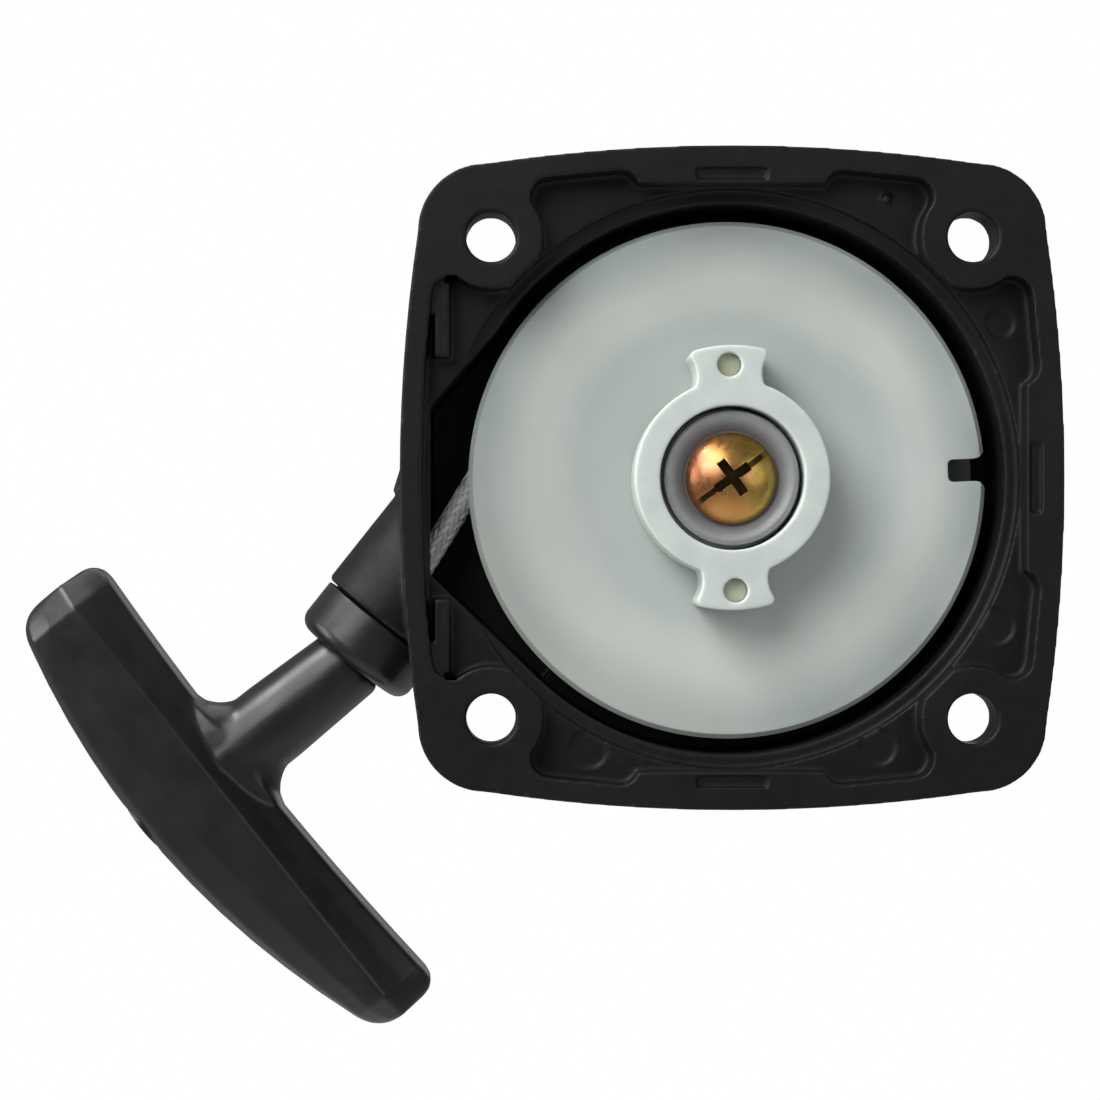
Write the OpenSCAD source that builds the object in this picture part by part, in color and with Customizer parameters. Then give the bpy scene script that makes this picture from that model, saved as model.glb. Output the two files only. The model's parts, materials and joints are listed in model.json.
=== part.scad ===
// Recoil starter for a small two-stroke engine.
// The mounting face lies in the XZ plane and looks along -Y, towards the engine.
// The reel turns about the Y axis. The origin is the centre of the bolt pattern.
// Every piece is drawn flat first, with the engine side up along z, and
// stand() then turns it upright.

/* [Mounting flange] */
// Distance between neighbouring bolt holes
bolt_pitch = 50; // [48:0.5:52]
// Diameter of a bolt hole
bolt_hole_d = 5.2; // [4.2:0.1:6]
// Width and height of the flange across its bowed sides
flange_size = 69; // [68.5:0.1:70]
// Thickness of the flange at its corner pads
flange_t = 5.4; // [5:0.1:6]
// Radius of the flange corners
corner_r = 7; // [6.5:0.1:7.2]
// Width of the raised rim
rim_w = 2.2; // [1.8:0.1:2.5]
// Depth of the recess inside the rim
recess_depth = 3; // [2:0.1:3.5]
// Radius of the boss round a bolt hole
boss_r = 5.4; // [5:0.1:5.8]

/* [Case] */
// Inner radius of the round case
case_r = 29; // [28.5:0.1:29.5]
// Wall thickness of the case
case_wall = 2.2; // [1.8:0.1:2.4]
// Inner radius of the spring chamber behind the reel
chamber_r = 24.1; // [23.5:0.1:25]
// Depth of the case floor below the mounting face
case_depth = 21; // [20.5:0.1:24]
// Radius of the fixed post that carries the reel
post_r = 5; // [4.8:0.1:5.2]

/* [Reel] */
// Radius of the reel flanges
reel_r = 27.4; // [26.8:0.1:27.8]
// Depth of the reel's front face below the mounting face
reel_depth = 6; // [5.6:0.1:6.4]
// Radius of the groove floor
groove_r = 16; // [15.8:0.1:17]
// Clear width of the rope groove
groove_w = 5.4; // [5:0.1:5.8]
// Radial clearance between the bush and the post
running_gap = 0.05; // [0.02:0.01:0.09]

/* [Drive claw] */
// Outer diameter of the claw ring
claw_ring_d = 20.3; // [19:0.1:21]
// Diameter of the pocket in the claw ring
claw_pocket_d = 15; // [14.8:0.1:16]
// Distance across the tips of the two lugs
claw_span = 27.5; // [26:0.1:29]
// Width of a lug at its tip
lug_tip_w = 8.8; // [8.4:0.1:9.4]
// Width of a lug at its neck
lug_neck_w = 6.8; // [6.2:0.1:7]
// How far the claw stands proud of the mounting face
claw_proud = 0.5; // [0:0.1:2]
// Angle at which the claw is parked
claw_park_angle = 1.6; // [0:0.1:5]

/* [Rope] */
// Diameter of the starter rope
rope_d = 2.6; // [2.4:0.1:2.8]
// Radius of the outermost turn's centre line
rope_wrap_r = 22.7; // [22.5:0.1:23]
// Angle at which the rope leaves the reel
rope_leave_angle = 148.3; // [147.5:0.1:149]

/* [Rope outlet] */
// Angle of the outlet below horizontal
outlet_angle = 51.5; // [51:0.1:52]
// Outer radius of the moulded snout
snout_r = 7.3; // [7.2:0.05:7.6]
// Outer radius of the outlet collar
collar_r = 7; // [6.9:0.05:7.2]
// Length of the collar outside the snout
collar_len = 5.7; // [5.5:0.1:6.2]

/* [Handle] */
// Angle of the handle stem below horizontal
handle_angle = 38.5; // [38:0.1:39]
// Distance from the collar mouth to the grip bar
grip_reach = 15.2; // [14.8:0.1:15.8]
// Greatest width of the grip bar
grip_w = 13.2; // [12.6:0.1:13.6]
// Length of the upper arm from the stem axis
arm_upper = 25.5; // [23:0.1:27]
// Length of the lower arm from the stem axis
arm_lower = 32.9; // [30:0.1:34]
// Thickness of the grip bar at its ridge
grip_t = 12; // [11.5:0.1:13]
// Radius of the stem at the collar
stem_r = 4.1; // [4:0.1:4.3]

/* [Hidden] */
$fn = 96;
eps = 0.01;
cut = 1;

// Flange outline
flange_half = flange_size / 2;
corner_setback = 1.9;
corner_c = flange_half - corner_setback - corner_r;
side_sag = flange_half - corner_c - corner_r;
side_r = (corner_c * corner_c + side_sag * side_sag) / (2 * side_sag);
bolt_c = bolt_pitch / 2;
pad_inset = 3.3;
pad_size = 16;
block_half = 9.6;
block_inner = 30.6;
block_w = 6;
block_slot_inset = 0.3;
block_slot = [7.5, 1.3, 0.45];
recess_round = 2;
ledge_w = 1.4;
ledge_drop = 0.9;
ledge_r = case_r + ledge_w;
ledge_depth = recess_depth + ledge_drop;
rib_in = 29.3;
rib_out = 30.9;
rib_ends = [12.6, 20.3];
rib_depth = 0.7;
pit_r = 0.55;
pit_x = [-30.5, -28.9];
pit_y = 21.4;
pit_depth = 0.6;
pin_marks = [[28.3, 16.3, 1.6], [27.9, -15.4, 2], [-14.8, -28.3, 2.1], [15.5, -28.1, 2]];
pin_mark_depth = 0.25;
pip_place = [16.4, 29.3];
pip_r = 0.5;
pip_h = 0.6;
hole_chamfer = 0.2;

// Rope pocket on the left of the case
pocket_x = 31.4;
pocket_top = 7.6;
pocket_low = -10;
pocket_from = 131;
pocket_to = 228;
pocket_depth = 16;
pocket_wall = 2;
collar_gap = 0.1;

// Case
case_outer_r = case_r + case_wall;
step_depth = 15.5;
chamber_wall = 2;
chamber_outer_r = chamber_r + chamber_wall;
back_t = 2.2;
back_z = -case_depth - back_t;
reel_chamber_depth = 14.6;
gusset_angles = [22.5, 67.5, 112.5, 247.5, 292.5, 337.5];
gusset_t = 1.6;
gusset_sunk = 1;
gusset_reach = flange_half + 0.6;
gusset_lip = 0.8;
gusset_foot = 2;
back_rib_count = 12;
back_rib = [15, 1.4, 1.1];
back_rib_from = 9.5;
back_ring_w = 1.8;
back_boss_r = 7.5;
back_boss_h = 1.8;
back_dimple = [5.5, 1.2];

// Height stations of the reel, measured up from its groove
reel_top = -reel_depth;
flange_front_t = 1.5;
flange_rear_t = 1.2;
groove_top = reel_top - flange_front_t;
groove_bottom = groove_top - groove_w;
reel_bottom = groove_bottom - flange_rear_t;
rope_z = (groove_top + groove_bottom) / 2;
hub_top = -2.9;
hub_gap = 0.15;
hub_r = claw_pocket_d / 2 - hub_gap;
arbor_r = 8.2;
arbor_bottom = -19.8;
bush_r = 6.4;
post_top = -2.6;
dish_depth = 0.8;
notch_w = 2.4;
notch_len = 4;
notch_corner_r = 0.6;
notch_angle = 2.4;
knot_place_r = 12.6;
knot_place_angle = 60;
reel_knot_r = 2.3;
reel_knot_gap = 0.3;
front_edge = 0.5;
rim_flat = 4.5;
rear_step = 0.3;

// Drive claw
claw_base = reel_top - dish_depth;
lug_hole_place = 11.7;
lug_hole_r = 1.25;
lug_hole_bottom = -9.2;
lug_flank_r = 3.3;
lug_flank_y = 10.6;
lug_corner_r = 0.6;
pin_bottom = -9;
pin_gap = 0.05;
pin_sunk = 1.2;

// Retaining washer and screw
washer_r = 7;
washer_t = 0.8;
washer_rim = 1.8;
washer_rim_w = 1;
washer_rim_crown = 0.2;
washer_head_gap = 0.15;
washer_hole_r = 2.3;
screw_r = 2;
thread_gap = 0.05;
screw_clearance = 0.1;
screw_len = 11;
head_r = 4.75;
head_h = 2.4;
head_dome_r = 7;
cross_len = 4.2;
cross_w = 1;
cross_depth = 1.5;
slot_w = 0.6;
slot_depth = 0.25;
drive_angle = 36;
insert_r = 3.1;
insert_len = 9;

// Spring parts
cassette_gap = 0.1;
cassette_r = chamber_r - cassette_gap;
post_clearance = 0.4;
cassette_wall = 0.8;
cassette_floor_t = 0.6;
cover_t = 0.4;
cover_hole_r = 9.3;
strip_t = 0.4;
strip_bottom = -20.2;
strip_top = -15.6;
strip_gap = 0.6;
strip_in = arbor_r + strip_gap;
strip_out = cassette_r - cassette_wall - strip_gap;
strip_turns = 9;
strip_steps = 28;
hook_len = 1.3;
hook_gap = 0.3;
hook_slot = [1.6, 6];
cover_z = -14.95;

// Directions in the rope plane
function toward(a) = [cos(a), sin(a)];
function cross2(a, b) = a[0] * b[1] - a[1] * b[0];
out_dir = toward(180 + outlet_angle);
pull_dir = toward(180 + handle_angle);

// Rope outlet: the seam between snout and collar, and the collar's mouth
seam = [-36.6, -14.9];
mouth = seam + collar_len * out_dir;
snout_back = 14.8;
snout_end_wall = 1;
bore_r = 5.4;
seam_chamfer = 0.25;
seam_gap = 0.25;
seam_gap_depth = 0.9;
lip_r = 1.6;
spigot_len = 3.2;
spigot_wall = 1.1;
slip_gap = 0.05;
mouth_r = 5.5;
mouth_floor = 2.8;
mouth_taper = 0.6;
collar_bore_r = 3.4;
eyelet_throat_r = 2;
eyelet_flange_r = 4.5;
eyelet_flange_t = 0.6;
eyelet_half = 1.2;
eyelet_band = collar_bore_r - slip_gap - eyelet_throat_r;
fin = [[-32.5, 4], [-34.5, 2.2], [-35.5, -1], [-33, -3]];
fin_t = 1.4;

// Rope run: off the reel, straight to the outlet, round one bend, straight to the knot
rope_r = rope_d / 2;
leave_dir = toward(rope_leave_angle + 90);
leave_point = rope_wrap_r * toward(rope_leave_angle);
bend_angle = rope_leave_angle - 90 - handle_angle;
bend_apex_run = cross2(mouth - leave_point, pull_dir) / cross2(leave_dir, pull_dir);
bend_apex = leave_point + bend_apex_run * leave_dir;
bend_tangent = 6;
bend_r = bend_tangent / tan(bend_angle / 2);
bend_start = bend_apex - bend_tangent * leave_dir;
bend_end = bend_apex + bend_tangent * pull_dir;
bend_centre = bend_start + bend_r * [leave_dir[1], -leave_dir[0]];
wrap_lead = 30;
winding_shrink = 0.1;
winding_r = rope_wrap_r - rope_r - winding_shrink;
winding_gap = 0.2;
winding_floor_gap = 0.05;
winding_turn_r = 1.25;

// Handle
stem_nose = -0.9;
nose_r = 0.9;
stem_base_r = 4.5;
stem_fillet = 5;
grip_bore_r = 1.7;
knot_floor = 19.5;
knot_pocket_r = 3.3;
knot_r = 2.9;
knot_lobe_r = 1.35;
knot_lobe_at = [1.5, 0.8];
knot_core = [2.5, 0.9];
knot_tail = 0.3;
knot_start = 20.45;
knot_len = 4;
knot_washer_t = 0.8;
knot_washer_gap = 0.05;
knot_washer_play = [0.2, 0.1];
cap_start = 24.9;
cap_dome = 0.15;
cap_dome_r = 36;
cap_sunk = 0.02;
stem_end = 20.2;
grip_top = grip_reach + grip_w;
grip_bow = [grip_top, -0.7, 86];
inner_bow = [grip_reach, 0.8, 370];
ridge_reach = 18.8;
ridge_edge = 1;
grip_corner_r = 2.2;
grip_end_bevel = 3;
grip_end_thin = 0.4;
grip_tips = [0, 0.2, 0.6, 1.3, 2.2, 3];
grip_steps = 12;
grip_half = [[0, 0.28], [0.06, 0.42], [0.5, 0.66], [1, 1], [1.5, 0.92], [1.87, 0.72], [1.97, 0.5], [2, 0.3]];
flare_steps = 6;
flare_sides = 32;
flare_h = 4.3;
flare_sunk = 0.3;
flare_root = 2.3;

// Steps of the swept rope
wrap_steps = 6;
bend_steps = 7;
tube_sides = 12;

// Turns a piece drawn with the engine side up along z to its upright place
module stand() rotate([90, 0, 0]) children();

// Puts a child's z axis along a direction in the rope plane
module along(point, angle) {
    translate([point[0], point[1], rope_z])
        rotate([0, 0, angle])
            rotate([0, 90, 0])
                children();
}

// Square with rounded corners and bowed sides
module flange_outline(inset = 0) {
    r = corner_r - inset;
    for (sx = [-1, 1], sy = [-1, 1])
        translate([sx * corner_c, sy * corner_c]) circle(r);
    square([2 * (corner_c + r), 2 * corner_c], center = true);
    square([2 * corner_c, 2 * (corner_c + r)], center = true);
    for (k = [0:3])
        rotate(90 * k)
            intersection() {
                translate([flange_half - side_r, 0]) circle(side_r - inset);
                translate([corner_c, -corner_c]) square([corner_r + corner_setback + cut, 2 * corner_c]);
            }
}

// Corner pad: a boss joined to the rim
module corner_pad() {
    circle(boss_r);
    translate([-pad_inset, -pad_inset]) square(pad_size);
}

module at_corners() {
    for (k = [0:3])
        rotate(90 * k)
            translate([bolt_c, bolt_c])
                children();
}

// What stands at flange level inside the rim
module pads() {
    at_corners() corner_pad();
    for (a = [-90, 0, 90])
        rotate(a) translate([block_inner, -block_half]) square([block_w, 2 * block_half]);
}

module rope_pocket(grow = 0) {
    r = case_r + grow;
    polygon([
        r * toward(pocket_from - 2 * grow),
        [-pocket_x - grow, pocket_top + grow],
        [-pocket_x - grow, pocket_low - grow],
        r * toward(pocket_to + 2 * grow),
        [0, 0]
    ]);
}

// Slab between two heights
module slab(low, high) translate([0, 0, low]) linear_extrude(high - low) children();

module side_ribs() {
    for (s = [-1, 1])
        slab(-recess_depth - eps, -rib_depth)
            translate([-rib_out, s > 0 ? rib_ends[0] : -rib_ends[1]])
                square([rib_out - rib_in, rib_ends[1] - rib_ends[0]]);
}

module gusset(angle) {
    rotate([0, 0, angle])
        rotate([90, 0, 0])
            translate([0, 0, -gusset_t / 2])
                linear_extrude(gusset_t)
                    polygon([
                        [case_outer_r - gusset_sunk, -flange_t + gusset_sunk],
                        [gusset_reach, -flange_t + gusset_sunk],
                        [gusset_reach, -flange_t - gusset_lip],
                        [case_outer_r, -step_depth + gusset_foot],
                        [case_outer_r - gusset_sunk, -step_depth + gusset_foot]
                    ]);
}

module housing_outside() {
    difference() {
        slab(-flange_t, 0) flange_outline();
        slab(-recess_depth, cut)
            offset(r = recess_round)
                offset(delta = -recess_round)
                    difference() {
                        flange_outline(rim_w);
                        pads();
                    }
    }
    side_ribs();
    slab(-step_depth, -recess_depth - eps) circle(case_outer_r);
    slab(back_z, -step_depth + cut) circle(chamber_outer_r);
    slab(-pocket_depth - pocket_wall, -recess_depth - eps) rope_pocket(pocket_wall);
    along(seam, 180 + outlet_angle) {
        translate([0, 0, -snout_back]) cylinder(r = snout_r, h = snout_back - seam_chamfer);
        translate([0, 0, -seam_chamfer - eps])
            cylinder(r1 = snout_r, r2 = snout_r - seam_chamfer, h = seam_chamfer + eps);
    }
    translate([0, 0, rope_z - fin_t / 2]) linear_extrude(fin_t) polygon(fin);
    for (a = gusset_angles) gusset(a);
    for (k = [0:back_rib_count - 1])
        rotate([0, 0, k * 360 / back_rib_count])
            translate([back_rib_from, -back_rib[1] / 2, back_z - back_rib[2]])
                cube([back_rib[0], back_rib[1], back_rib[2] + cut]);
    slab(back_z - back_boss_h, back_z + eps) circle(back_boss_r);
    slab(back_z - back_rib[2], back_z + eps) difference() {
        circle(chamber_outer_r);
        circle(chamber_outer_r - back_ring_w);
    }
}

module housing_inside() {
    slab(-ledge_depth, cut) circle(ledge_r);
    slab(-reel_chamber_depth, cut) circle(case_r);
    slab(-case_depth, cut) circle(chamber_r);
    slab(-pocket_depth, cut) rope_pocket();
    along(seam, 180 + outlet_angle)
        translate([0, 0, snout_end_wall - snout_back]) cylinder(r = bore_r, h = snout_back + cut);
    along(seam, 180 + outlet_angle) cylinder(r = collar_r + collar_gap, h = collar_len + cut);
    at_corners() {
        slab(-flange_t - cut, cut) circle(bolt_hole_d / 2);
        translate([0, 0, -hole_chamfer])
            cylinder(
                r1 = bolt_hole_d / 2,
                r2 = bolt_hole_d / 2 + hole_chamfer + eps,
                h = hole_chamfer + eps
            );
    }
    for (a = [-90, 0, 90])
        rotate(a)
            translate([block_inner + block_slot_inset, -block_slot[0] / 2, -block_slot[2]])
                cube([block_slot[1], block_slot[0], cut + block_slot[2]]);
    for (s = [-1, 1])
        slab(-recess_depth - pit_depth, -eps) {
            for (x = pit_x) translate([x, s * pit_y]) circle(pit_r);
            translate([pit_x[0], s * pit_y - pit_r]) square([pit_x[1] - pit_x[0], 2 * pit_r]);
        }
    for (m = pin_marks)
        translate([m[0], m[1], -recess_depth - pin_mark_depth]) cylinder(r = m[2], h = cut);
    translate([0, 0, back_z - back_boss_h - eps]) cylinder(r = back_dimple[0], h = back_dimple[1]);
}

module housing() color([0.13, 0.13, 0.14]) stand() {
    difference() {
        housing_outside();
        housing_inside();
    }
    difference() {
        translate([0, 0, -case_depth - eps]) cylinder(r = post_r, h = case_depth + post_top + eps);
        translate([0, 0, post_top - insert_len]) cylinder(r = insert_r, h = insert_len + cut);
        translate([0, 0, post_top - screw_len - cut])
            cylinder(r = screw_r + screw_clearance, h = screw_len);
    }
    translate([pip_place[0], pip_place[1], -recess_depth - eps]) cylinder(r = pip_r, h = pip_h);
}

// Collar that closes the snout and holds the eyelet: shadow gap, round lip and wide mouth
module outlet_collar() color([0.16, 0.16, 0.17]) stand() along(seam, 180 + outlet_angle)
    rotate_extrude() difference() {
        union() {
            translate([0, seam_gap]) square([collar_r, collar_len - lip_r - seam_gap]);
            square([collar_r - seam_gap_depth, seam_gap + eps]);
            square([collar_r - lip_r, collar_len]);
            translate([collar_r - lip_r, collar_len - lip_r]) circle(lip_r);
            translate([0, -spigot_len]) square([bore_r - slip_gap, spigot_len + eps]);
        }
        translate([-2 * collar_r, -spigot_len - cut])
            square([2 * collar_r + collar_bore_r, collar_len + spigot_len + 2 * cut]);
        polygon([
            [0, collar_len - mouth_floor],
            [mouth_r - mouth_taper, collar_len - mouth_floor],
            [mouth_r, collar_len + eps],
            [mouth_r, collar_len + cut],
            [0, collar_len + cut]
        ]);
        polygon([
            [0, -spigot_len - eps],
            [bore_r - spigot_wall, -spigot_len - eps],
            [collar_bore_r, 0],
            [0, 0]
        ]);
    }

// Metal bushing with a rounded throat that the rope slides through
module rope_eyelet() color([0.72, 0.72, 0.7]) stand() along(mouth, 180 + outlet_angle)
    translate([0, 0, -mouth_floor])
        rotate_extrude() {
            throat_at = eyelet_throat_r + eyelet_band / 2;
            flange_end = eyelet_flange_r - eyelet_flange_t / 2;
            translate([throat_at, -eyelet_half]) circle(eyelet_band / 2);
            translate([throat_at, -eyelet_half - eyelet_band / 2])
                square([eyelet_band / 2, eyelet_half + eyelet_band / 2]);
            translate([throat_at, 0]) square([flange_end - throat_at, eyelet_flange_t]);
            translate([flange_end, eyelet_flange_t / 2]) circle(eyelet_flange_t / 2);
            translate([throat_at - eyelet_flange_t / 2, -eyelet_half])
                square([eyelet_flange_t, eyelet_half + eyelet_flange_t / 2]);
        }

// Brass insert moulded in the post
module post_insert() color([0.75, 0.6, 0.3]) stand()
    translate([0, 0, post_top - insert_len]) difference() {
        cylinder(r = insert_r, h = insert_len);
        translate([0, 0, -cut]) cylinder(r = screw_r, h = insert_len + 2 * cut);
    }

module spring_cassette() color([0.55, 0.56, 0.58]) stand() difference() {
    slab(-case_depth, cover_z - cover_t) circle(cassette_r);
    slab(-case_depth + cassette_floor_t, cut) circle(cassette_r - cassette_wall);
    slab(-case_depth - cut, cut) circle(post_r + post_clearance);
}

module spring_cover() color([0.6, 0.61, 0.63]) stand()
    slab(cover_z - cover_t, cover_z) difference() {
        circle(cassette_r);
        circle(cover_hole_r);
    }

// Flat strip wound as a spiral, with its inner end turned in to the arbor
function strip_radius(k) = strip_in + (strip_out - strip_in) * k / (strip_turns * strip_steps);
function strip_edge(off) =
    [for (k = [0:strip_turns * strip_steps]) (strip_radius(k) + off) * toward(k * 360 / strip_steps)];
function backward(list) = [for (k = [len(list) - 1:-1:0]) list[k]];

module recoil_spring() color([0.4, 0.45, 0.55]) stand() slab(strip_bottom, strip_top)
    polygon(concat(
        [[strip_in - hook_len, 0]],
        strip_edge(0),
        backward(strip_edge(strip_t)),
        [[strip_in + strip_t, -strip_t], [strip_in - hook_len, -strip_t]]
    ));

// Cup washer that keeps the reel on its post
module retaining_washer() color([0.55, 0.57, 0.6]) stand() translate([0, 0, post_top])
    rotate_extrude() {
        translate([washer_hole_r, 0]) square([washer_r - washer_hole_r, washer_t]);
        polygon([
            [head_r + washer_head_gap, washer_t - eps],
            [washer_r, washer_t - eps],
            [washer_r, washer_rim],
            [washer_r - washer_rim_w / 2, washer_rim + washer_rim_crown],
            [washer_r - washer_rim_w, washer_rim]
        ]);
    }

// Cross recess, and a shallow slot right across the dome that keeps to its curve
module screw_drive() {
    rotate([0, 0, drive_angle]) {
        for (a = [0, 90])
            rotate([0, 0, a])
                translate([-cross_len / 2, -cross_w / 2, head_h - cross_depth])
                    cube([cross_len, cross_w, cross_depth + cut]);
        difference() {
            translate([-head_r - cut, -slot_w / 2, -cut])
                cube([2 * (head_r + cut), slot_w, head_h + 2 * cut]);
            translate([0, 0, head_h - head_dome_r]) sphere(head_dome_r - slot_depth);
        }
    }
}

module retaining_screw() color([0.8, 0.62, 0.35]) stand() translate([0, 0, post_top + washer_t])
    difference() {
        union() {
            translate([0, 0, -screw_len]) cylinder(r = screw_r - thread_gap, h = screw_len + eps);
            rotate_extrude() intersection() {
                translate([0, head_h - head_dome_r]) circle(head_dome_r);
                square([head_r, head_h]);
            }
        }
        screw_drive();
    }

// Slot in the reel's front flange for catching the rope while winding
module reel_notch() {
    for (s = [-1, 1])
        translate([reel_r - notch_len + notch_corner_r, s * (notch_w / 2 - notch_corner_r)])
            circle(notch_corner_r);
    translate([reel_r - notch_len, notch_corner_r - notch_w / 2])
        square([notch_corner_r, notch_w - 2 * notch_corner_r]);
    translate([reel_r - notch_len + notch_corner_r, -notch_w / 2])
        square([notch_len + cut, notch_w]);
    for (s = [-1, 1])
        difference() {
            translate([reel_r - notch_w / 2, s * notch_w / 2 - notch_w / 2 * (1 - s) / 2])
                square([notch_w, notch_w / 2]);
            translate([reel_r - notch_w / 2, s * notch_w]) circle(notch_w / 2);
        }
}

module rope_reel() color([0.75, 0.78, 0.76]) stand() difference() {
    rotate_extrude() polygon([
        [bush_r, hub_top],
        [hub_r, hub_top],
        [hub_r, reel_top - dish_depth],
        [claw_span / 2, reel_top - dish_depth],
        [reel_r - rim_flat, reel_top],
        [reel_r - front_edge, reel_top],
        [reel_r, reel_top - front_edge],
        [reel_r, groove_top],
        [groove_r, groove_top],
        [groove_r, groove_bottom],
        [reel_r - rear_step, groove_bottom],
        [reel_r - rear_step, reel_bottom],
        [arbor_r, reel_bottom],
        [arbor_r, arbor_bottom],
        [bush_r, arbor_bottom]
    ]);
    rotate([0, 0, notch_angle]) slab(groove_top - eps, cut) reel_notch();
    rotate([0, 0, knot_place_angle]) {
        slab(reel_bottom - cut, rope_z + reel_knot_r + reel_knot_gap)
            translate([knot_place_r, 0]) circle(reel_knot_r + reel_knot_gap);
        translate([knot_place_r, 0, rope_z])
            rotate([0, 90, 0]) cylinder(r = rope_r + reel_knot_gap, h = groove_r);
    }
    translate([arbor_r - hook_len + hook_gap, -hook_slot[0] / 2 - strip_t / 2, arbor_bottom - cut])
        cube([hook_len + cut, hook_slot[0], hook_slot[1] + cut]);
    at_lug_holes() slab(lug_hole_bottom, cut) circle(lug_hole_r);
}

// Sintered bush pressed in the reel hub
module reel_bush() color([0.6, 0.52, 0.38]) stand() difference() {
    slab(arbor_bottom, hub_top) circle(bush_r);
    slab(arbor_bottom - cut, cut) circle(post_r + running_gap);
}

module at_lug_holes() {
    for (s = [0, 180])
        rotate([0, 0, claw_park_angle + s]) translate([0, lug_hole_place, 0]) children();
}

// One lug: curved flanks that narrow to a neck, and an end that follows a circle
module lug() {
    offset(r = lug_corner_r)
        offset(delta = -lug_corner_r)
            difference() {
                intersection() {
                    circle(claw_span / 2);
                    translate([-lug_tip_w / 2, 0]) square([lug_tip_w, claw_span]);
                }
                for (s = [-1, 1])
                    translate([s * (lug_neck_w / 2 + lug_flank_r), lug_flank_y]) circle(lug_flank_r);
            }
}

module drive_claw() color([0.85, 0.9, 0.87]) stand() rotate([0, 0, claw_park_angle])
    slab(claw_base, claw_proud) difference() {
        union() {
            circle(claw_ring_d / 2);
            lug();
            rotate(180) lug();
        }
        circle(claw_pocket_d / 2);
        for (s = [-1, 1]) translate([0, s * lug_hole_place]) circle(lug_hole_r);
    }

module claw_pins() color([0.7, 0.7, 0.6]) stand()
    at_lug_holes() slab(pin_bottom, claw_proud - pin_sunk) circle(lug_hole_r - pin_gap);

// Rope stored on the reel, as one ring with two outer turns
module rope_winding() color([0.62, 0.63, 0.64]) stand() rotate_extrude() {
    low = groove_bottom + winding_gap;
    inner = groove_r + winding_floor_gap;
    translate([inner, low])
        square([winding_r - winding_turn_r - inner, groove_w - 2 * winding_gap]);
    for (z = [low + winding_turn_r, -winding_gap + groove_top - winding_turn_r])
        translate([winding_r - winding_turn_r, z]) circle(winding_turn_r);
}

// Inner end of the rope, knotted in its pocket in the reel
module reel_knot() color([0.6, 0.61, 0.62]) stand() rotate([0, 0, knot_place_angle])
    translate([knot_place_r, 0, rope_z])
        rotate([0, 90, 0]) rotate_extrude() intersection() {
            union() {
                circle(reel_knot_r);
                square([rope_r, groove_r - knot_place_r - winding_floor_gap]);
            }
            translate([0, -reel_knot_r]) square([reel_knot_r, groove_r]);
        }

// Centre line of the rope run: wrap on the reel, straight lead, outlet bend, straight to the knot
knot_run = knot_start - cross2(bend_end - mouth, [-pull_dir[1], pull_dir[0]]);
rope_route = concat(
    [for (k = [0:wrap_steps]) rope_wrap_r * toward(rope_leave_angle - wrap_lead * (1 - k / wrap_steps))],
    [for (k = [0:bend_steps])
        bend_centre + bend_r * toward(rope_leave_angle - 180 - bend_angle * k / bend_steps)],
    [bend_end + knot_run * pull_dir]
);

// Tube swept along a flat route, with a ring of points at each corner
function unit(v) = v / norm(v);
function route_dir(path, k) =
    unit(path[min(k + 1, len(path) - 1)] - path[max(k - 1, 0)]);
function tube_ring(path, k, r) = [
    for (j = [0:tube_sides - 1])
        let (d = route_dir(path, k), a = j * 360 / tube_sides)
            [path[k][0] + r * cos(a) * d[1], path[k][1] - r * cos(a) * d[0], r * sin(a)]
];

// Closed skin through a row of rings, each with the same number of points
module loft(rings) {
    n = len(rings[0]);
    polyhedron(
        points = [for (ring = rings) each ring],
        faces = concat(
            [[for (j = [n - 1:-1:0]) j]],
            [[for (j = [0:n - 1]) (len(rings) - 1) * n + j]],
            [for (k = [0:len(rings) - 2], j = [0:n - 1], half = [0, 1])
                let (i = (j + 1) % n, a = k * n)
                    half == 0 ? [a + j, a + i, a + n + j] : [a + i, a + n + i, a + n + j]]
        )
    );
}

module rope_run() color([0.65, 0.66, 0.67]) stand()
    translate([0, 0, rope_z]) loft([for (k = [0:len(rope_route) - 1]) tube_ring(rope_route, k, rope_r)]);

module along_handle() along(mouth, 180 + handle_angle) children();

// Stopper knot in the handle, round and a little pinched
module handle_knot() color([0.62, 0.63, 0.64]) stand() along_handle()
    translate([0, 0, knot_start]) {
        translate([0, 0, knot_len / 2]) rotate_extrude() {
            for (s = [-1, 1])
                intersection() {
                    translate([knot_lobe_at[0], s * knot_lobe_at[1]]) circle(knot_lobe_r);
                    translate([0, -knot_len / 2]) square([knot_r, knot_len]);
                }
            translate([0, -knot_core[1]]) square([knot_core[0], 2 * knot_core[1]]);
        }
        cylinder(r = rope_r, h = knot_len + knot_tail);
    }

module knot_washer() color([0.7, 0.71, 0.73]) stand() along_handle()
    translate([0, 0, knot_floor + knot_washer_gap]) difference() {
        cylinder(r = knot_pocket_r - knot_washer_play[0], h = knot_washer_t);
        translate([0, 0, -cut]) cylinder(r = rope_r + knot_washer_play[1], h = knot_washer_t + 2 * cut);
    }

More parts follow.
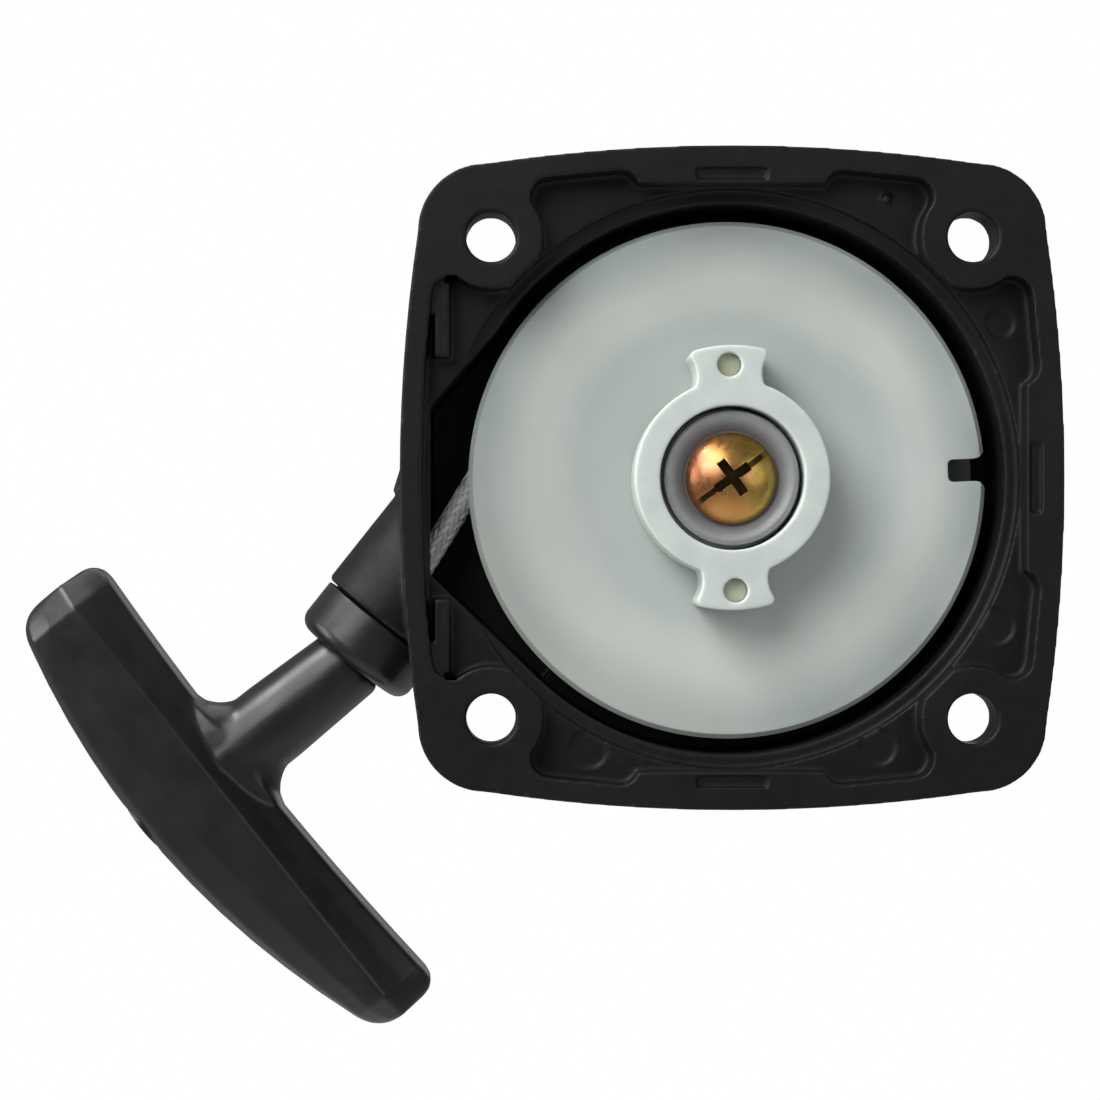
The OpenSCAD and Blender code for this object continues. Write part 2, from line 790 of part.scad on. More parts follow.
// Grip bar as a skin of rings along its length: bowed edges, a ridge on both faces, round ends
function bowed(line, t) = line[0] - (t - line[1]) * (t - line[1]) / (2 * line[2]);
function end_gap(t) = min(t + arm_upper, arm_lower - t);
function end_round(t) =
    let (d = max(grip_corner_r - end_gap(t), 0))
        grip_corner_r - sqrt(grip_corner_r * grip_corner_r - d * d);
function end_height(t) =
    1 - grip_end_thin * max(1 - end_gap(t) / grip_end_bevel, 0);
function across(t, share) =
    let (low = bowed(inner_bow, t) + end_round(t), high = bowed(grip_bow, t) - end_round(t))
        let (ridge = min(max(ridge_reach, low + ridge_edge), high - ridge_edge))
            share < 1 ? low + (ridge - low) * share : ridge + (high - ridge) * (share - 1);
function grip_side(t, side) =
    [for (p = grip_half) [across(t, p[0]), t, side * grip_t / 2 * end_height(t) * p[1]]];
function grip_ring(t) = concat(backward(grip_side(t, 1)), grip_side(t, -1));

module grip_bar() {
    first = -arm_upper + grip_end_bevel;
    last = arm_lower - grip_end_bevel;
    loft(concat(
        [for (d = grip_tips) grip_ring(-arm_upper + d)],
        [for (k = [1:grip_steps - 1]) grip_ring(first + (last - first) * k / grip_steps)],
        [for (d = backward(grip_tips)) grip_ring(arm_lower - d)]
    ));
}

// Stem's spread where it meets the bar, wide along the bar only
function flare_ring(run, deeper) =
    let (w = stem_base_r - flare_sunk + stem_fillet - sqrt(stem_fillet * stem_fillet - run * run))
        [for (j = [0:flare_sides - 1])
            let (a = 360 * j / flare_sides)
                [grip_reach - stem_fillet + flare_sunk + run + deeper, -w * cos(a), flare_h * sin(a)]];

module stem_flare() {
    loft(concat(
        [for (k = [0:flare_steps]) flare_ring(stem_fillet * k / flare_steps, 0)],
        [flare_ring(stem_fillet, flare_root)]
    ));
}

module stem_section() {
    round_in = nose_r * (1 - cos(45));
    polygon([
        [0, stem_nose], [stem_r - nose_r, stem_nose], [stem_r - round_in, stem_nose + round_in],
        [stem_r, stem_nose + nose_r], [stem_base_r, grip_reach - stem_fillet],
        [stem_base_r, stem_end], [0, stem_end]
    ]);
}

module handle_grip() color([0.17, 0.17, 0.18]) stand() difference() {
    union() {
        translate([mouth[0], mouth[1], rope_z])
            rotate([0, 0, 180 + handle_angle]) {
                grip_bar();
                stem_flare();
            }
        along_handle() rotate_extrude() stem_section();
    }
    along_handle() {
        translate([0, 0, stem_nose - cut]) cylinder(r = grip_bore_r, h = knot_floor - stem_nose + 2 * cut);
        translate([0, 0, knot_floor]) cylinder(r = knot_pocket_r, h = grip_w);
    }
}

module handle_cap() color([0.1, 0.1, 0.11]) stand() along_handle() rotate_extrude() {
    square_top = grip_top - cap_dome - cap_sunk;
    translate([0, cap_start]) square([knot_pocket_r - slip_gap, square_top - cap_start]);
    intersection() {
        translate([0, square_top + cap_dome - cap_dome_r]) circle(cap_dome_r);
        translate([0, square_top - eps]) square([knot_pocket_r - slip_gap, 2 * cap_dome]);
    }
}

housing();
outlet_collar();
rope_eyelet();
post_insert();
spring_cassette();
spring_cover();
recoil_spring();
retaining_washer();
retaining_screw();
rope_reel();
reel_bush();
drive_claw();
claw_pins();
rope_winding();
reel_knot();
rope_run();
handle_knot();
knot_washer();
handle_grip();
handle_cap();
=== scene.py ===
"""Recoil starter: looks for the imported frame, in metres."""
import json
import math

import bpy
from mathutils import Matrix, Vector


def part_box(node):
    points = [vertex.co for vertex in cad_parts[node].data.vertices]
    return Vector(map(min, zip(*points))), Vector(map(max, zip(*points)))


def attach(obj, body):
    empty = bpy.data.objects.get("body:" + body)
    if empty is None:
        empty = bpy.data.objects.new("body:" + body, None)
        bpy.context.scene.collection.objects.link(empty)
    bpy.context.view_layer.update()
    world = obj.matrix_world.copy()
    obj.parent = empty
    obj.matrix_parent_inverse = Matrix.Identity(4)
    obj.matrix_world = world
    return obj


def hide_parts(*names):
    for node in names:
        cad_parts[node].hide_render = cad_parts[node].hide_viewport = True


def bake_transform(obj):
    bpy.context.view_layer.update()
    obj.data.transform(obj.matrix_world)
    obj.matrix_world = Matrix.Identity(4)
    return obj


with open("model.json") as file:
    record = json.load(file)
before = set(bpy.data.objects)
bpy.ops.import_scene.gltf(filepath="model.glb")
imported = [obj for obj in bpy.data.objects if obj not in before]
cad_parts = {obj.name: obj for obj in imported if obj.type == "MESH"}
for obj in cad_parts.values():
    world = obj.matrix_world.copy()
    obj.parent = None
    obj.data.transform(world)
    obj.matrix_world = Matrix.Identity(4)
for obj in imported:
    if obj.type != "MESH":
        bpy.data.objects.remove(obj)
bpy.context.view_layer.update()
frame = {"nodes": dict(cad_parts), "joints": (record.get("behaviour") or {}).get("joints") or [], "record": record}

MM = 0.001
UP = Vector((0, 1, 0))  # along the reel's axis, away from the engine
NODES = frame["nodes"]
SLOT_OF = {part["node"]: part["material_slot"] for part in frame["record"]["subparts"]}
# The collar is as smooth as the handle
LOOK_OF = {**SLOT_OF, "outlet_collar": "black_handle"}


def joint(name):
    return next(j for j in frame["joints"] if j["name"] == name)


MOUTH = Vector(joint("handle_swivel")["pos_m"])
PULL = Vector(joint("handle_pull")["axis"]).normalized()
ROPE_Y = MOUTH.y


# ---------------------------------------------------------------- node tree helper

class Tree:
    """A small builder for one material's nodes."""

    def __init__(self, name):
        self.material = bpy.data.materials.new(name)
        self.material.use_nodes = True
        self.nodes = self.material.node_tree.nodes
        self.links = self.material.node_tree.links
        self.shader = self.nodes["Principled BSDF"]
        self.place = self.add("ShaderNodeTexCoord").outputs["Object"]

    def add(self, kind, settings=(), **inputs):
        node = self.nodes.new(kind)
        for key, value in dict(settings).items():
            setattr(node, key, value)
        for key, value in inputs.items():
            self.set(node, key.replace("_", " "), value)
        return node

    def set(self, node, key, value):
        socket = node.inputs[int(key)] if key.isdigit() else node.inputs[key]
        if isinstance(value, bpy.types.NodeSocket):
            self.links.new(value, socket)
        else:
            socket.default_value = value

    def surface(self, **inputs):
        for key, value in inputs.items():
            self.set(self.shader, key.replace("_", " "), value)

    def noise(self, scale, detail=3.0, roughness=0.55):
        node = self.add("ShaderNodeTexNoise", Vector=self.place, Scale=scale,
                        Detail=detail, Roughness=roughness)
        return node.outputs["Fac"]

    def math(self, operation, a, b=0.0):
        node = self.add("ShaderNodeMath", {"operation": operation})
        for k, value in enumerate((a, b)):
            self.set(node, str(k), value)
        return node.outputs[0]

    def remap(self, value, low, high, to_low, to_high):
        node = self.add("ShaderNodeMapRange", Value=value)
        ends = {"From Min": low, "From Max": high, "To Min": to_low, "To Max": to_high}
        for key, number in ends.items():
            node.inputs[key].default_value = number
        return node.outputs[0]

    def mix(self, share, a, b):
        node = self.add("ShaderNodeMix", {"data_type": "RGBA"})
        self.set(node, "0", share)
        for key, value in (("6", a), ("7", b)):
            if not isinstance(value, bpy.types.NodeSocket):
                value = (*value, 1.0)
            self.set(node, key, value)
        return node.outputs[2]

    def ramp(self, value, stops):
        node = self.add("ShaderNodeValToRGB", Fac=value)
        ramp = node.color_ramp
        while len(ramp.elements) < len(stops):
            ramp.elements.new(1.0)
        for element, (at, colour) in zip(ramp.elements, stops):
            element.position = at
            element.color = (*colour, 1.0)
        return node.outputs["Color"]

    def bump(self, height, distance, strength=1.0, below=None):
        node = self.add("ShaderNodeBump", Height=height, Distance=distance, Strength=strength)
        if below is not None:
            self.links.new(below, node.inputs["Normal"])
        return node.outputs["Normal"]

    def split(self):
        node = self.add("ShaderNodeSeparateXYZ", Vector=self.place)
        return node.outputs

    def radius(self):
        """Distance from the reel axis, in metres."""
        x, _, z = self.split()
        square = self.math("ADD", self.math("MULTIPLY", x, x), self.math("MULTIPLY", z, z))
        return self.math("SQRT", square)

    def edge_wear(self, low=0.52, high=0.62):
        """Where the surface is convex: the moulded edges, which the black plastics lighten as part rubbed wear,
        part painted highlight.
        """
        point = self.add("ShaderNodeNewGeometry").outputs["Pointiness"]
        return self.remap(point, low, high, 0.0, 1.0)


# ---------------------------------------------------------------- materials

def black_nylon():
    """Glass-filled black nylon straight from a spark-eroded mould."""
    t = Tree("black_nylon")
    cloud = t.remap(t.noise(90, 3), 0.35, 0.7, 0, 1)
    base = t.mix(cloud, (0.0042, 0.0042, 0.0044), (0.0066, 0.0066, 0.0068))
    specks = t.remap(t.noise(2600, 2), 0.45, 0.7, 0, 1)
    dust = t.math("MULTIPLY", t.remap(t.noise(38, 2), 0.5, 0.75, 0, 0.22), specks)
    base = t.mix(dust, base, (0.03, 0.029, 0.028))
    # Convex edges lighter: part rubbed wear, part painted edge highlight.
    rub_and_highlight = t.math("MULTIPLY", t.edge_wear(), t.remap(t.noise(900, 3), 0.35, 0.65, 0, 0.45))
    base = t.mix(rub_and_highlight, base, (0.035, 0.035, 0.036))
    grain = t.bump(t.noise(4200, 2, 0.6), 0.00004, 0.5)
    swell = t.bump(t.noise(330, 2), 0.00012, 0.3, grain)
    t.surface(Base_Color=base, Roughness=t.remap(t.noise(500, 3), 0.3, 0.7, 0.42, 0.56), Normal=swell,
              Specular_IOR_Level=0.17)
    return t.material


def black_handle():
    """Smoother black plastic, polished by hands."""
    t = Tree("black_handle")
    base = t.mix(t.noise(150, 3), (0.005, 0.005, 0.0053), (0.008, 0.008, 0.0083))
    # Convex edges lighter: part rubbed wear, part painted edge highlight.
    rub_and_highlight = t.math("MULTIPLY", t.edge_wear(), t.remap(t.noise(500, 3), 0.45, 0.7, 0, 0.4))
    base = t.mix(rub_and_highlight, base, (0.05, 0.05, 0.052))
    grain = t.bump(t.noise(3600, 2, 0.6), 0.00002, 0.4)
    swell = t.bump(t.noise(180, 2), 0.00018, 0.25, grain)
    t.surface(Base_Color=base, Roughness=t.remap(t.noise(300, 3), 0.3, 0.7, 0.3, 0.4), Normal=swell,
              Specular_IOR_Level=0.4)
    return t.material


def natural_nylon():
    """Unpigmented nylon: faintly translucent, with painted rings of shade and reflection that follow its dished
    face, and a mottle inside.
    """
    t = Tree("natural_nylon")
    r = t.radius()
    wander = t.math("ADD", r, t.remap(t.noise(42, 2), 0, 1, -0.0024, 0.0024))
    # Painted shade and reflection: a lighter ring midway out, darker toward the rim.
    rings = t.ramp(t.remap(wander, 0.008, 0.028, 0, 1), [
        (0.0, (0.40, 0.435, 0.40)), (0.27, (0.43, 0.465, 0.44)), (0.40, (0.41, 0.45, 0.43)),
        (0.56, (0.50, 0.52, 0.485)), (0.68, (0.50, 0.515, 0.475)), (0.80, (0.395, 0.425, 0.40)),
        (0.90, (0.32, 0.355, 0.335)), (1.0, (0.35, 0.38, 0.355))])
    base = t.mix(t.remap(t.noise(70, 3), 0.35, 0.65, 0, 0.4), rings, (0.37, 0.43, 0.425))
    base = t.mix(t.remap(t.noise(44, 2), 0.5, 0.7, 0, 0.35), base, (0.52, 0.51, 0.455))
    turned = t.math("SINE", t.math("MULTIPLY", r, 14000))
    fine = t.bump(turned, 0.000003, 0.5)
    swell = t.bump(t.noise(260, 3), 0.00006, 0.4, fine)
    t.surface(Base_Color=base, Roughness=t.remap(t.noise(500, 3), 0.3, 0.7, 0.38, 0.52), Normal=swell,
              Subsurface_Weight=0.3, Subsurface_Scale=0.0015, Subsurface_Radius=(1.0, 0.9, 0.8))
    return t.material


def white_nylon():
    t = Tree("white_nylon")
    base = t.mix(t.remap(t.noise(260, 3), 0.35, 0.65, 0, 1), (0.455, 0.50, 0.48), (0.51, 0.55, 0.525))
    base = t.mix(t.math("MULTIPLY", t.edge_wear(0.5, 0.6), 0.5), base, (0.56, 0.56, 0.46))
    swell = t.bump(t.noise(900, 3), 0.00003, 0.5)
    t.surface(Base_Color=base, Roughness=t.remap(t.noise(800, 2), 0.3, 0.7, 0.38, 0.5), Normal=swell,
              Subsurface_Weight=0.35, Subsurface_Scale=0.0015, Subsurface_Radius=(1.0, 0.95, 0.8))
    return t.material


def aged_nylon():
    t = Tree("aged_nylon")
    # Olive and darker than the claw's nylon: the pin ends' colour, with the shade of their holes painted in.
    base = t.mix(t.remap(t.noise(900, 3), 0.35, 0.65, 0, 1), (0.42, 0.45, 0.30), (0.52, 0.55, 0.38))
    t.surface(Base_Color=base, Roughness=t.remap(t.noise(900, 2), 0.3, 0.7, 0.4, 0.55),
              Normal=t.bump(t.noise(1800, 3), 0.00002, 0.5), Subsurface_Weight=0.3,
              Subsurface_Scale=0.001, Subsurface_Radius=(1.0, 0.9, 0.6))
    return t.material


def grey_plastic():
    t = Tree("grey_plastic")
    # Painted shadow and highlight: dark toward the screw head, whose shadow falls in the cup, and a bright rim.
    shade = t.ramp(t.remap(t.radius(), 0.0045, 0.0071, 0, 1), [
        (0.0, (0.10, 0.10, 0.103)), (0.55, (0.195, 0.198, 0.203)), (0.88, (0.26, 0.264, 0.27)),
        (1.0, (0.38, 0.385, 0.39))])
    base = t.mix(t.remap(t.noise(900, 3), 0.35, 0.65, 0, 0.3), shade, (0.14, 0.142, 0.15))
    t.surface(Base_Color=base, Roughness=t.remap(t.noise(1500, 2), 0.3, 0.7, 0.34, 0.48),
              Normal=t.bump(t.noise(2500, 2), 0.00002, 0.5))
    return t.material


SCREW_DOME_R = 7 * MM
SCREW_TOP_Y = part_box("retaining_screw")[0].y


def zinc_screw():
    """Yellow chromate: the film's colour wanders between amber, olive and pink, and the
    drive's cross and slot, which lie below the dome, are painted dark as shade."""
    t = Tree("zinc_screw")
    x, y, z = t.split()
    inner = t.math("SUBTRACT", SCREW_DOME_R ** 2, t.math("POWER", t.radius(), 2.0))
    dome = t.math("SUBTRACT", SCREW_DOME_R, t.math("SQRT", inner))
    below = t.math("SUBTRACT", t.math("SUBTRACT", y, SCREW_TOP_Y), dome)
    off_rim = t.remap(t.radius(), 0.0043, 0.0038, 0, 0.92)
    # Painted shade in the cross and slot below the dome.
    recess_shade = t.math("MULTIPLY", t.remap(below, 0.0001, 0.00022, 0, 1), off_rim)
    lean = t.math("ADD", t.math("MULTIPLY", x, 100.0), t.math("MULTIPLY", z, 30.0))
    film = t.math("ADD", t.remap(t.noise(300, 2, 0.4), 0.2, 0.8, 0.1, 0.7), lean)
    colour = t.ramp(film, [
        (0.0, (0.40, 0.16, 0.08)), (0.25, (0.45, 0.2, 0.07)), (0.5, (0.50, 0.27, 0.075)),
        (0.75, (0.34, 0.24, 0.055)), (1.0, (0.26, 0.22, 0.05))])
    colour = t.mix(t.remap(t.noise(900, 2), 0.55, 0.7, 0, 0.35), colour, (0.62, 0.27, 0.18))
    colour = t.mix(recess_shade, colour, (0.012, 0.010, 0.007))
    t.surface(Base_Color=colour, Metallic=1.0, Roughness=t.remap(t.noise(1300, 3), 0.3, 0.7, 0.24, 0.38),
              Normal=t.bump(t.noise(1800, 1), 0.00001, 0.3))
    return t.material


def metal(name, dark, light, rough=(0.25, 0.42)):
    t = Tree(name)
    base = t.mix(t.remap(t.noise(1200, 3), 0.35, 0.65, 0, 1), dark, light)
    turned = t.math("SINE", t.math("MULTIPLY", t.radius(), 26000))
    fine = t.bump(turned, 0.000003, 0.6)
    t.surface(Base_Color=base, Metallic=1.0, Roughness=t.remap(t.noise(900, 3), 0.3, 0.7, *rough),
              Normal=t.bump(t.noise(3000, 2), 0.000012, 0.6, fine))
    return t.material


def rope_yarn():
    """Braided nylon: pale yarns with a dark tracer, told apart by the mesh's tracer value, and painted shade in
    the valleys between them.
    """
    t = Tree("rope")
    tracer = t.add("ShaderNodeAttribute", {"attribute_name": "tracer"}).outputs["Fac"]
    valley_shade = t.add("ShaderNodeAttribute", {"attribute_name": "valley_shade"}).outputs["Fac"]
    pale = t.mix(t.remap(t.noise(1800, 3), 0.3, 0.7, 0, 1), (0.62, 0.625, 0.62), (0.82, 0.82, 0.80))
    dark = t.mix(t.noise(2400, 2), (0.09, 0.092, 0.096), (0.16, 0.162, 0.166))
    base = t.mix(tracer, pale, dark)
    # Painted shade in the valleys between the yarns.
    base = t.mix(t.math("MULTIPLY", valley_shade, 0.8), base, (0.03, 0.031, 0.033))
    fibre = t.bump(t.noise(9000, 2, 0.7), 0.00003, 0.6)
    t.surface(Base_Color=base, Roughness=t.remap(t.noise(3000, 2), 0.3, 0.7, 0.55, 0.8), Normal=fibre,
              Sheen_Weight=0.2, Sheen_Roughness=0.4)
    return t.material


MATERIALS = {
    "black_nylon": black_nylon(),
    "black_handle": black_handle(),
    "natural_nylon": natural_nylon(),
    "white_nylon": white_nylon(),
    "aged_nylon": aged_nylon(),
    "grey_plastic": grey_plastic(),
    "zinc_screw": zinc_screw(),
    "zinc_steel": metal("zinc_steel", (0.5, 0.51, 0.53), (0.66, 0.67, 0.69)),
    "spring_steel": metal("spring_steel", (0.22, 0.25, 0.31), (0.36, 0.38, 0.42)),
    "steel": metal("steel", (0.55, 0.55, 0.55), (0.7, 0.7, 0.69)),
    "brass": metal("brass", (0.62, 0.44, 0.17), (0.78, 0.6, 0.28)),
    "sintered_bronze": metal("sintered_bronze", (0.36, 0.27, 0.16), (0.5, 0.4, 0.25), (0.4, 0.6)),
    "rope": rope_yarn(),
}


def paint(obj, slot):
    obj.data.materials.clear()
    obj.data.materials.append(MATERIALS[slot])


# ---------------------------------------------------------------- CAD nodes that stay

WELD_GAP = 0.002 * MM
EDGE_ANGLE = math.radians(28)


def bevel_edges(obj, width, segments):
    """Welds the mesh, then bevels its edges if a width is given."""
    weld = obj.modifiers.new("weld", "WELD")
    weld.merge_threshold = WELD_GAP
    if width:
        bevel = obj.modifiers.new("round", "BEVEL")
        bevel.width = width * MM
        bevel.segments = segments
        bevel.limit_method = "ANGLE"
        bevel.angle_limit = EDGE_ANGLE


def soften(node, width):
    """Rounds a CAD node's edges by a bevel."""
    obj = NODES[node]
    bevel_edges(obj, width, 3)
    for face in obj.data.polygons:
        face.use_smooth = True
    obj.modifiers.new("even", "WEIGHTED_NORMAL")


def cast(node, voxel, rounds, width):
    """Rounds a CAD node's edges and inner corners by casting it again in small cells."""
    obj = NODES[node]
    bevel_edges(obj, width, 2)
    cells = obj.modifiers.new("cells", "REMESH")
    cells.mode = "VOXEL"
    cells.voxel_size = voxel * MM
    cells.use_smooth_shade = True
    melt = obj.modifiers.new("melt", "SMOOTH")
    melt.factor = 0.5
    melt.iterations = rounds


# Bevel width, in mm
SOFTENED = {
    "outlet_collar": 0.15, "rope_eyelet": 0.05, "post_insert": 0.1, "spring_cassette": 0.1,
    "spring_cover": 0.08, "recoil_spring": 0.05, "retaining_washer": 0.12, "rope_reel": 0.25,
    "reel_bush": 0.15, "claw_pins": 0.15, "handle_cap": 0.2, "knot_washer": 0.08,
    "retaining_screw": 0.05,
}
# Cell size in mm, smoothing rounds, bevel width in mm
CAST = {
    "housing": (0.2, 6, 0.3),
    "handle_grip": (0.2, 12, 0),
    "drive_claw": (0.15, 8, 0.25),
}

for name, obj in NODES.items():
    paint(obj, LOOK_OF[name])
for name, width in SOFTENED.items():
    soften(name, width)
for name, (voxel, rounds, width) in CAST.items():
    cast(name, voxel, rounds, width)


# ---------------------------------------------------------------- rope

ROPE_R = 1.3 * MM
VALLEY_R = 0.86  # radius between the yarns, as a share of the rope's
STRANDS = 12
LAY = 1.3 * MM
REPEAT = 4  # crossings after which the braid repeats
TRACER_YARN = 3
TRACER_SHADE = 0.7
LEFT_YARN_SHADE = 0.3
FREE_LENGTH = 0.708
WRAP_R = 22.7 * MM
WRAP_BACK = math.radians(30)
LEAVE_ANGLE = math.radians(148.3)
BEND_TANGENT = 6 * MM
HIDDEN_IN = 3.5 * MM
HANDLE_RUN = 20.4 * MM
WINDING_RADII = (17.45 * MM, 19.95 * MM)
WINDING_SHIFT = 1.27 * MM
WINDING_PITCH = 0.3 * MM
RING_PITCH = 0.1 * MM
STORE_RINGS = 2800
LEAD_SIDES = 56
PLAIN_SIDES = 20


def flat(angle):
    return Vector((math.cos(angle), 0, math.sin(angle)))


def braid(turn, along):
    """Two-over-two braid: height from 0 to 1, and how dark the upper yarn is."""
    a = STRANDS * turn + along / LAY
    b = STRANDS * turn - along / LAY
    ia, ib = math.floor(a), math.floor(b)
    fa, fb = a - ia, b - ib
    phase = (ia + ib) % REPEAT
    if phase < 2:
        across, down = fa, (phase + fb) / 2
        shade = TRACER_SHADE if ia % STRANDS == TRACER_YARN else 0.0
    else:
        across, down, shade = fb, (phase - 2 + fa) / 2, LEFT_YARN_SHADE
    height = math.sin(math.pi * across) ** 0.7 * math.sin(math.pi * down) ** 0.3
    return height, shade


def rope_mesh(name, rings, sides, closed=False):
    """Skin over rings of (centre, side direction, up direction, braid length)."""
    points, tracer, valley_shade, faces = [], [], [], []
    for centre, side, up, along in rings:
        for k in range(sides):
            turn = k / sides
            height, dark = braid(turn, along)
            radius = ROPE_R * (VALLEY_R + (1 - VALLEY_R) * height)
            angle = 2 * math.pi * turn
            points.append(centre + radius * (math.cos(angle) * side + math.sin(angle) * up))
            tracer.append(dark)
            # Painted shade where the braid sinks between the yarns.
            valley_shade.append(max(0.0, 1 - 1.9 * height))
    count = len(rings)
    for i in range(count if closed else count - 1):
        for k in range(sides):
            a, b = i * sides, (i + 1) % count * sides
            n = (k + 1) % sides
            faces.append((a + k, b + k, b + n, a + n))
    if not closed:
        faces.append(tuple(range(sides)))
        faces.append(tuple(reversed(range((count - 1) * sides, count * sides))))
    mesh = bpy.data.meshes.new(name)
    mesh.from_pydata(points, [], faces)
    mesh.attributes.new("tracer", "FLOAT", "POINT").data.foreach_set("value", tracer)
    mesh.attributes.new("valley_shade", "FLOAT", "POINT").data.foreach_set("value", valley_shade)
    mesh.shade_smooth()
    obj = bpy.data.objects.new(name, mesh)
    bpy.context.scene.collection.objects.link(obj)
    paint(obj, "rope")
    return obj


def settle(t):
    """The value whose smooth step is t."""
    return 0.5 - math.sin(math.asin(1 - 2 * t) / 3)


def build_rope_run():
    """Round the reel and through the outlet; the stored rope is pressed together inside the
    stem, from where the pull draws it out evenly."""
    leave = WRAP_R * flat(LEAVE_ANGLE) + Vector((0, ROPE_Y, 0))
    leave_dir = flat(LEAVE_ANGLE + math.pi / 2)
    gap = MOUTH - leave
    cross = leave_dir.x * PULL.z - leave_dir.z * PULL.x
    apex = leave + (gap.x * PULL.z - gap.z * PULL.x) / cross * leave_dir
    start, end = apex - BEND_TANGENT * leave_dir, apex + BEND_TANGENT * PULL
    hidden = MOUTH + HIDDEN_IN * PULL

    def straight(a, b):
        steps = int((b - a).length / RING_PITCH)
        return [a.lerp(b, k / steps) for k in range(steps)]

    wrap = int(WRAP_BACK * WRAP_R / RING_PITCH)
    route = [WRAP_R * flat(LEAVE_ANGLE - WRAP_BACK * (1 - k / wrap)) + Vector((0, ROPE_Y, 0))
             for k in range(wrap)]
    route += straight(leave, start)
    bend = int(2 * BEND_TANGENT / RING_PITCH)
    for k in range(bend):
        u = k / bend
        route.append((1 - u) ** 2 * start + 2 * u * (1 - u) * apex + u * u * end)
    route += straight(end, hidden) + [hidden]
    rings, along = [], 0.0
    for k, point in enumerate(route):
        if k:
            along += (point - route[k - 1]).length
        ahead = (route[min(k + 1, len(route) - 1)] - route[max(k - 1, 0)]).normalized()
        rings.append((point, ahead.cross(UP).normalized(), UP, along))
    lead = rope_mesh("rope_run_lead", rings, LEAD_SIDES)
    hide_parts("rope_run")
    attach(lead, "case")

    far = MOUTH + HANDLE_RUN * PULL
    side = PULL.cross(UP).normalized()
    room = (far - hidden).length
    rings = []
    for k in range(STORE_RINGS + 1):
        share = k / STORE_RINGS
        place = settle(share)
        length = along + place * room + share * FREE_LENGTH
        rings.append((hidden.lerp(far, place), side, UP, length))
    store = rope_mesh("rope_run_store", rings, PLAIN_SIDES)
    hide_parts("rope_run")
    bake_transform(store)


def build_winding():
    """Four turns of rope on the reel, two wide and two deep."""
    parts = []
    for radius in WINDING_RADII:
        for shift in (-WINDING_SHIFT, WINDING_SHIFT):
            count = int(2 * math.pi * radius / WINDING_PITCH)
            lays = round(2 * math.pi * radius / (REPEAT * LAY)) * REPEAT * LAY
            rings = []
            for k in range(count):
                out = flat(2 * math.pi * k / count)
                centre = radius * out + Vector((0, ROPE_Y + shift, 0))
                rings.append((centre, out, UP, lays * k / count))
            parts.append(rope_mesh("winding_turn", rings, PLAIN_SIDES, closed=True))
    with bpy.context.temp_override(active_object=parts[0], selected_editable_objects=parts):
        bpy.ops.object.join()
    parts[0].name = "rope_winding_turns"
    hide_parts("rope_winding")
    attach(parts[0], "reel")


build_rope_run()
build_winding()


# ---------------------------------------------------------------- stage, light, camera

FRAME_WIDTH = 0.114
CAMERA_AWAY = 0.275
CAMERA_X = -0.0262
CAMERA_Z = -0.012
VIEW_X = -0.0189
VIEW_Z = -0.0075
SENSOR = 36.0
FLOOR_HALF = 2.5
FLOOR_Z = -0.72
ROOM_LIGHT = 0.24
ROOM_TINT = (0.93, 0.97, 1, 1)
WHITE = (1, 1, 1, 1)
# Place and disc size in metres, power in watts
LIGHTS = {
    "key": ((-0.34, -0.5, 0.36), 0.5, 3.9),
    "top_left": ((-0.6, -0.2, 0.74), 0.4, 7.5),
    "left": ((-0.8, -0.12, 0.1), 0.5, 4),
    "right": ((0.6, -0.6, 0.15), 0.6, 1.2),
    "above": ((0.1, 0.4, 1.4), 1.6, 12),
    "back": ((0.45, 0.75, 0.3), 0.7, 1.2),
}


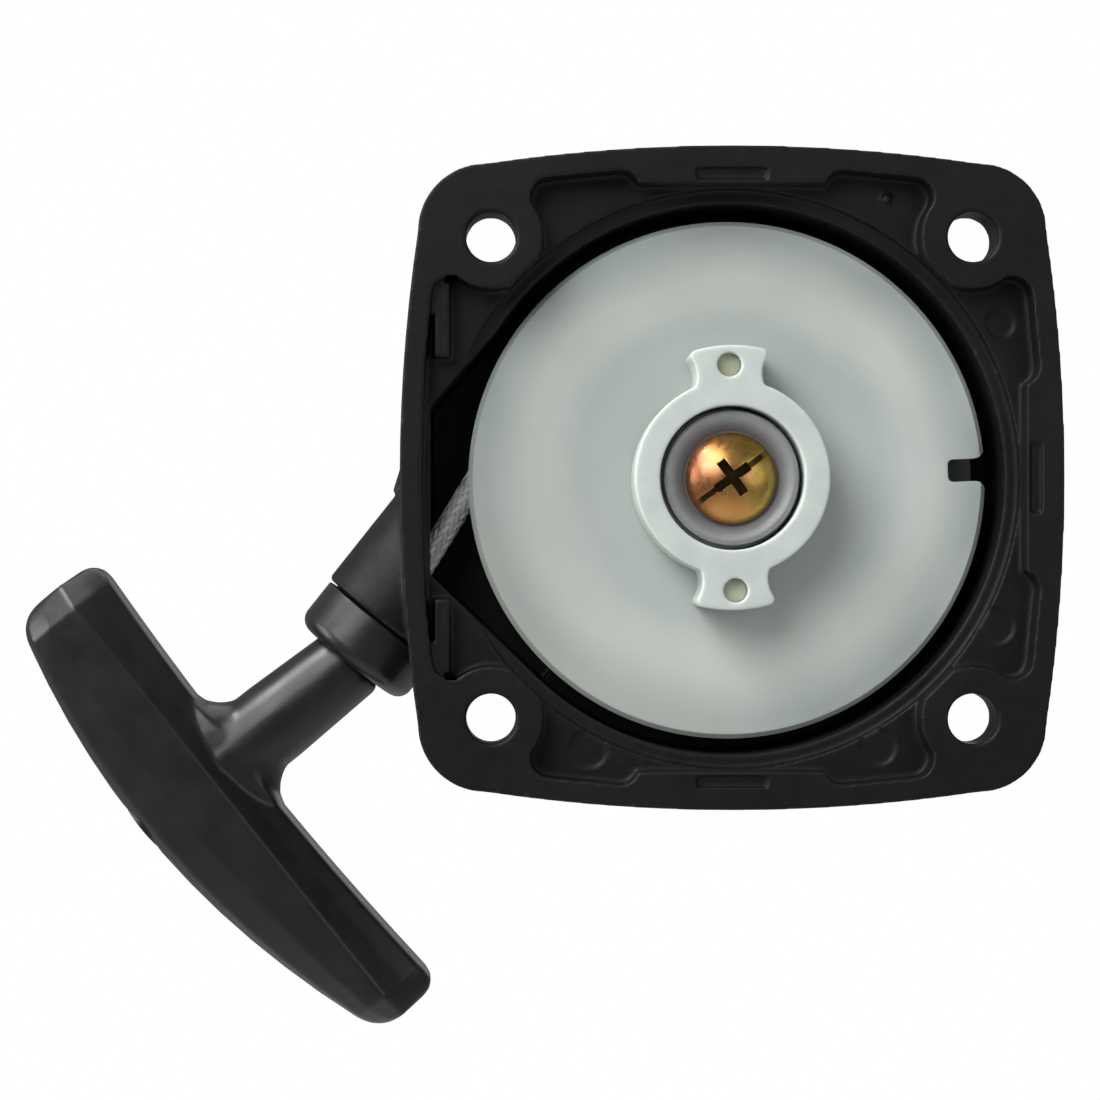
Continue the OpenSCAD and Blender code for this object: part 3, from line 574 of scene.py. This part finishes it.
def add_camera():
    data = bpy.data.cameras.new("camera")
    data.sensor_width = SENSOR
    data.lens = SENSOR * CAMERA_AWAY / FRAME_WIDTH
    data.shift_x = (VIEW_X - CAMERA_X) / FRAME_WIDTH
    data.shift_y = (VIEW_Z - CAMERA_Z) / FRAME_WIDTH
    data.clip_start = 0.01
    camera = bpy.data.objects.new("camera", data)
    camera.location = (CAMERA_X, -CAMERA_AWAY, CAMERA_Z)
    camera.rotation_euler = (math.radians(90), 0, 0)
    bpy.context.scene.collection.objects.link(camera)
    bpy.context.scene.camera = camera


def add_light(name, place, size, power):
    data = bpy.data.lights.new(name, "AREA")
    data.shape = "DISK"
    data.size = size
    data.energy = power
    light = bpy.data.objects.new(name, data)
    light.location = place
    light.rotation_euler = (-Vector(place)).to_track_quat("-Z", "Y").to_euler()
    bpy.context.scene.collection.objects.link(light)


def add_floor():
    mesh = bpy.data.meshes.new("floor")
    corners = [(x * FLOOR_HALF, y * FLOOR_HALF, FLOOR_Z) for x, y in ((-1, -1), (1, -1), (1, 1), (-1, 1))]
    mesh.from_pydata(corners, [], [(0, 1, 2, 3)])
    floor = bpy.data.objects.new("floor", mesh)
    t = Tree("floor")
    t.surface(Base_Color=t.mix(t.noise(3, 3), (0.86, 0.86, 0.86), (0.9, 0.9, 0.9)), Roughness=0.8)
    mesh.materials.append(t.material)
    bpy.context.scene.collection.objects.link(floor)


def add_world():
    """White where the camera looks, softer where it lights."""
    world = bpy.data.worlds.new("studio")
    world.use_nodes = True
    nodes, links = world.node_tree.nodes, world.node_tree.links
    seen = nodes["Background"]
    seen.inputs["Color"].default_value = WHITE
    seen.inputs["Strength"].default_value = 1.0
    lighting = nodes.new("ShaderNodeBackground")
    lighting.inputs["Color"].default_value = ROOM_TINT
    lighting.inputs["Strength"].default_value = ROOM_LIGHT
    path = nodes.new("ShaderNodeLightPath")
    mix = nodes.new("ShaderNodeMixShader")
    links.new(path.outputs["Is Camera Ray"], mix.inputs[0])
    links.new(lighting.outputs[0], mix.inputs[1])
    links.new(seen.outputs[0], mix.inputs[2])
    links.new(mix.outputs[0], nodes["World Output"].inputs["Surface"])
    bpy.context.scene.world = world


add_camera()
add_world()
add_floor()
for name, (place, size, power) in LIGHTS.items():
    add_light(name, place, size, power)
bpy.context.scene.view_settings.view_transform = "Standard"
